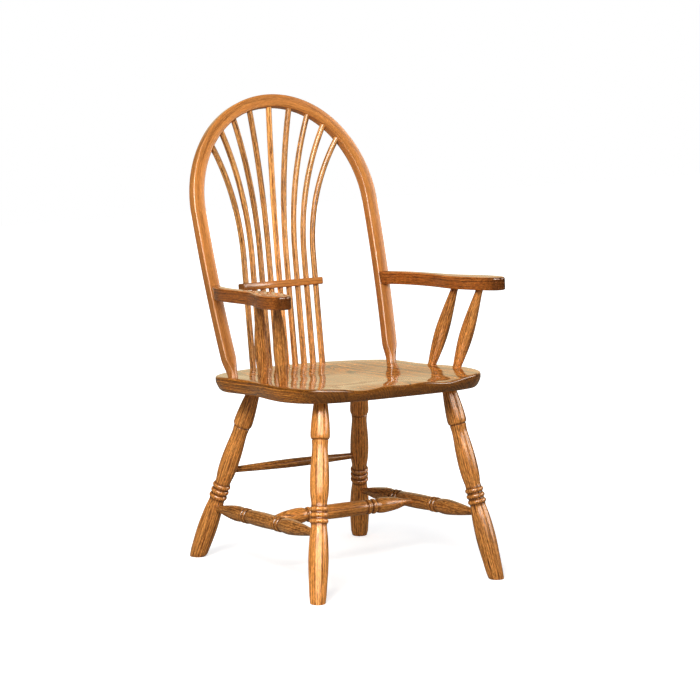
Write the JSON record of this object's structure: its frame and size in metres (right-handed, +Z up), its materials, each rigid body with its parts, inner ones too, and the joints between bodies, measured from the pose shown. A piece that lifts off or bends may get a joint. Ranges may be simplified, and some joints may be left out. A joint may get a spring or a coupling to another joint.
{
  "type": "dining armchair",
  "caption": "Oak dining armchair with a bent bow back, sprung spindles gathered by a small tie, saddled plank seat, turned arm posts, legs and stretchers.",
  "frame": {"origin": "on the floor under the middle of the chair's overall box", "axes": "+Z up, the sitter faces -Y, the sitter's left is +X"},
  "size_m": [0.625, 0.6563, 1.0797],
  "materials": {
    "oak_seat": "clear gloss lacquer over glued oak boards, saddled top",
    "oak_bent": "clear gloss lacquer over steam-bent oak, open straight grain",
    "oak_turned": "clear gloss lacquer over turned oak, open grain",
    "oak_arm": "clear gloss lacquer over sawn oak",
    "screw_steel": "plain bright screw, hidden under its wooden plug"
  },
  "bodies": {
    "root": {"seat": "oak_seat", "back_bow": "oak_bent", "spindle_tie": "oak_bent", "arm_left": "oak_arm", "arm_right": "oak_arm", "arm_screw_left": "screw_steel", "arm_screw_right": "screw_steel", "screw_plug_left": "oak_turned", "screw_plug_right": "oak_turned", "spindle_1": "oak_bent", "spindle_2": "oak_bent", "spindle_3": "oak_bent", "spindle_4": "oak_bent", "spindle_5": "oak_bent", "spindle_6": "oak_bent", "spindle_7": "oak_bent", "spindle_8": "oak_bent", "spindle_9": "oak_bent", "arm_post_front_left": "oak_turned", "arm_post_front_right": "oak_turned", "arm_post_rear_left": "oak_turned", "arm_post_rear_right": "oak_turned", "leg_front_left": "oak_turned", "leg_front_right": "oak_turned", "leg_rear_left": "oak_turned", "leg_rear_right": "oak_turned", "side_stretcher_left": "oak_turned", "side_stretcher_right": "oak_turned", "centre_stretcher": "oak_turned", "rear_stretcher": "oak_turned"}
  },
  "joints": []
}
